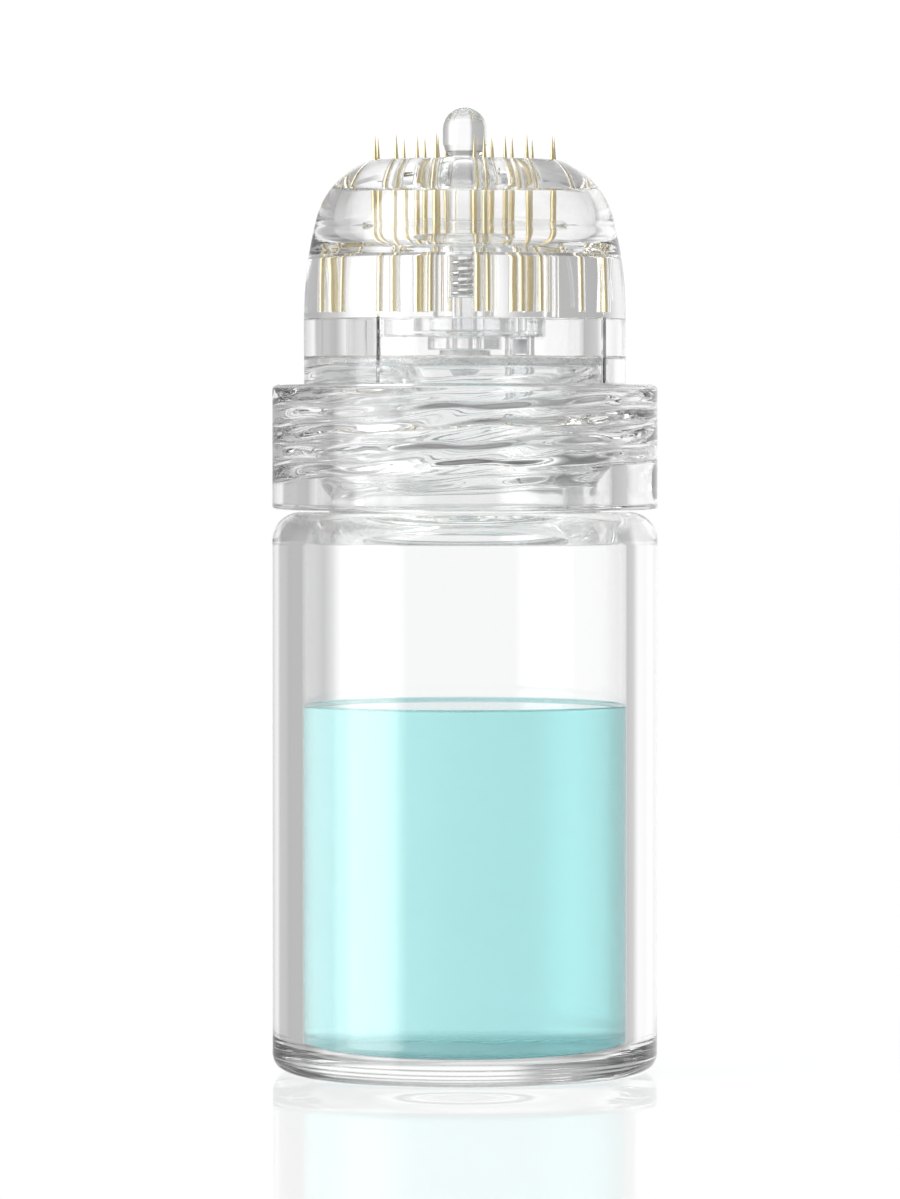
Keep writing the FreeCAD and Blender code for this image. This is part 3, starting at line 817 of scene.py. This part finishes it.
def build_spring():
    low, high = 48.02, 50.98
    wire, radius, turns = 0.1, 0.8, 6.0
    ring, steps = 12, 420
    climb = spring_climb(low, high, wire, turns, steps)
    vertices, faces = [], []
    for i in range(steps + 1):
        a = 2 * math.pi * turns * i / steps
        for k in range(ring):
            b = 2 * math.pi * k / ring
            r = radius + wire * math.cos(b)
            vertices.append((r * math.cos(a), r * math.sin(a), climb[i] + wire * math.sin(b)))
    for i in range(steps):
        for k in range(ring):
            n = (k + 1) % ring
            faces.append((i * ring + k, (i + 1) * ring + k, (i + 1) * ring + n, i * ring + n))
    for first, order in ((0, 1), (steps * ring, -1)):
        middle = len(vertices)
        vertices.append(tuple(np.mean(vertices[first : first + ring], axis=0)))
        for k in range(ring):
            n = (k + 1) % ring
            faces.append((middle, first + k, first + n) if order > 0 else (middle, first + n, first + k))
    spring = add_mesh("return_spring_coil", vertices, faces)
    finish_piece(spring, spring_steel, "spring_steel", "head", "return_spring")
    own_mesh(spring)


# ---- studio --------------------------------------------------------------------------------------


def build_floor():
    """A pale floor that glows, so that it blends into the white backdrop, and mirrors the object."""
    reach, level = 3.0, -0.00002
    corners = [(-reach, -reach, level), (reach, -reach, level), (reach, reach, level), (-reach, reach, level)]
    mesh = bpy.data.meshes.new("studio_floor")
    mesh.from_pydata(corners, [], [(0, 1, 2, 3)])
    floor = bpy.data.objects.new("studio_floor", mesh)
    bpy.context.scene.collection.objects.link(floor)
    material = bpy.data.materials.new("studio_floor")
    material.use_nodes = True
    tree = material.node_tree
    tree.nodes.clear()
    glow = node(tree, "ShaderNodeEmission", Strength=0.86)
    matt = node(tree, "ShaderNodeBsdfDiffuse", Color=(0.25, 0.25, 0.25, 1))
    white = node(tree, "ShaderNodeAddShader")
    gloss = node(tree, "ShaderNodeBsdfGlossy", Roughness=0.02)
    mix = node(tree, "ShaderNodeMixShader", Fac=0.3)
    out = node(tree, "ShaderNodeOutputMaterial")
    tree.links.new(glow.outputs[0], white.inputs[0])
    tree.links.new(matt.outputs[0], white.inputs[1])
    tree.links.new(white.outputs[0], mix.inputs[1])
    tree.links.new(gloss.outputs[0], mix.inputs[2])
    tree.links.new(mix.outputs[0], out.inputs["Surface"])
    floor.data.materials.append(material)
    floor.visible_transmission = False
    floor.visible_glossy = False


# Grey levels round the room, by compass direction in degrees: 0 is straight behind the object, more is
# further to the right and 180 is towards the camera.
AROUND = [
    (-180, 0.42), (-150, 0.42), (-110, 0.55), (-95, 1.0), (-66, 1.0), (-50, 0.46), (-15, 0.52),
    (-9, 1.04), (36, 1.04), (44, 0.6), (60, 0.48), (95, 0.52), (120, 0.42), (180, 0.42),
]
# By how steeply a direction points, from -1 straight down to 1 straight up: BAND multiplies the levels
# round the room, and ENDS is added to them.
BAND = [
    (-1.0, 0.3), (-0.8, 0.5), (-0.5, 0.6), (-0.3, 1.0),
    (0.25, 1.0), (0.45, 0.4), (0.7, 0.1), (1.0, 0.0),
]
ENDS = [
    (-1.0, 0.5), (-0.8, 0.34), (-0.65, 0.1), (-0.5, 0.0),
    (0.5, 0.0), (0.65, 0.35), (0.8, 1.3), (1.0, 1.3),
]
BACKDROP = 1.04  # the level that the camera itself sees


def grey_ramp(tree, source, stops, span):
    """Grey levels at (place, level), where places run from minus half the span to plus half of it."""
    ramp = node(tree, "ShaderNodeValToRGB")
    for place, _ in stops[1:-1]:
        ramp.color_ramp.elements.new(place / span + 0.5)
    for element, (_, level) in zip(ramp.color_ramp.elements, stops):
        element.color = (level, level, level, 1)
    tree.links.new(source, ramp.inputs["Fac"])
    return ramp.outputs["Color"]


def build_world():
    """A white backdrop behind, a white panel at the left, light from overhead and a grey room elsewhere.
    The camera itself sees one even level."""
    world = bpy.data.worlds.new("studio")
    bpy.context.scene.world = world
    world.use_nodes = True
    tree = world.node_tree
    tree.nodes.clear()
    place = node(tree, "ShaderNodeTexCoord")
    split = node(tree, "ShaderNodeSeparateXYZ")
    compass = node(tree, "ShaderNodeMath", operation="ARCTAN2")
    turn = node(tree, "ShaderNodeMapRange")
    turn.inputs["From Min"].default_value = -math.pi
    turn.inputs["From Max"].default_value = math.pi
    around = grey_ramp(tree, turn.outputs["Result"], AROUND, 360)
    height = spread(tree, split.outputs["Z"], 0, 1, -1, 1)
    band = grey_ramp(tree, height, BAND, 2)
    ends = grey_ramp(tree, height, ENDS, 2)
    walls = node(tree, "ShaderNodeMix", data_type="RGBA", blend_type="MULTIPLY")
    room = node(tree, "ShaderNodeMix", data_type="RGBA", blend_type="ADD")
    for mix in (walls, room):
        mix.inputs["Factor"].default_value = 1.0
    tree.links.new(around, walls.inputs["A"])
    tree.links.new(band, walls.inputs["B"])
    tree.links.new(walls.outputs["Result"], room.inputs["A"])
    tree.links.new(ends, room.inputs["B"])
    studio = node(tree, "ShaderNodeBackground", Strength=1.0)
    backdrop = node(tree, "ShaderNodeBackground", Color=(BACKDROP, BACKDROP, BACKDROP, 1), Strength=1.0)
    ray = node(tree, "ShaderNodeLightPath")
    mix = node(tree, "ShaderNodeMixShader")
    out = node(tree, "ShaderNodeOutputWorld")
    tree.links.new(place.outputs["Generated"], split.inputs[0])
    tree.links.new(split.outputs["X"], compass.inputs[0])
    tree.links.new(split.outputs["Y"], compass.inputs[1])
    tree.links.new(compass.outputs[0], turn.inputs["Value"])
    tree.links.new(room.outputs["Result"], studio.inputs["Color"])
    tree.links.new(ray.outputs["Is Camera Ray"], mix.inputs["Fac"])
    tree.links.new(studio.outputs[0], mix.inputs[1])
    tree.links.new(backdrop.outputs[0], mix.inputs[2])
    tree.links.new(mix.outputs[0], out.inputs["Surface"])


# Brightness across the softbox, from -0.5 to 0.5 of its width. It fades out at both upright edges.
SOFT_EDGES = [
    (-0.5, 0.0), (-0.45, 0.35), (-0.35, 0.85), (-0.2, 1.0),
    (0.2, 1.0), (0.35, 0.85), (0.45, 0.35), (0.5, 0.0),
]


def build_softbox():
    """One tall, upright softbox to the left of the camera, turned towards the object."""
    distance, height, azimuth = 0.8, 0.3, math.radians(62)
    data = bpy.data.lights.new("softbox_left", "AREA")
    data.shape = "RECTANGLE"
    data.size, data.size_y = 0.68, 1.3
    data.energy = 8.0
    light = bpy.data.objects.new("softbox_left", data)
    light.location = (-distance * math.sin(azimuth), -distance * math.cos(azimuth), height)
    light.rotation_euler = (math.radians(90), 0, -azimuth)
    light.visible_camera = False
    data.use_nodes = True
    tree = data.node_tree
    across = node(tree, "ShaderNodeSeparateXYZ")
    tree.links.new(node(tree, "ShaderNodeNewGeometry").outputs["Parametric"], across.inputs[0])
    soft = grey_ramp(tree, across.outputs["X"], SOFT_EDGES, 1)
    tree.links.new(soft, tree.nodes["Emission"].inputs["Strength"])
    bpy.context.scene.collection.objects.link(light)


def build_camera():
    """A long lens, level with the neck and tilted down to the middle of the object."""
    tilt = 1.5315  # degrees
    data = bpy.data.cameras.new("camera")
    data.sensor_width = 36.0
    data.lens = 210.84
    camera = bpy.data.objects.new("camera", data)
    camera.location = (-0.00092, -0.437, 0.0411)
    camera.rotation_euler = (math.radians(90 - tilt), 0, 0)
    data.clip_start, data.clip_end = 0.01, 20
    bpy.context.scene.collection.objects.link(camera)
    bpy.context.scene.camera = camera


build_vial()
build_serum()
build_gasket()
build_base()
build_dome()
build_needle_plate()
dress_needles()
build_plunger()
build_stopper()
build_sleeve()
build_vent_tube()
build_valve_plate()
build_spring()
build_floor()
build_world()
build_softbox()
build_camera()

scene = bpy.context.scene
scene.view_settings.view_transform = "Standard"
scene.cycles.max_bounces = 40
scene.cycles.transmission_bounces = 36
scene.cycles.glossy_bounces = 16
scene.cycles.transparent_max_bounces = 32
scene.cycles.use_denoising = True
scene.cycles.sample_clamp_indirect = 6.0
scene.cycles.blur_glossy = 0.0

bpy.context.view_layer.update()
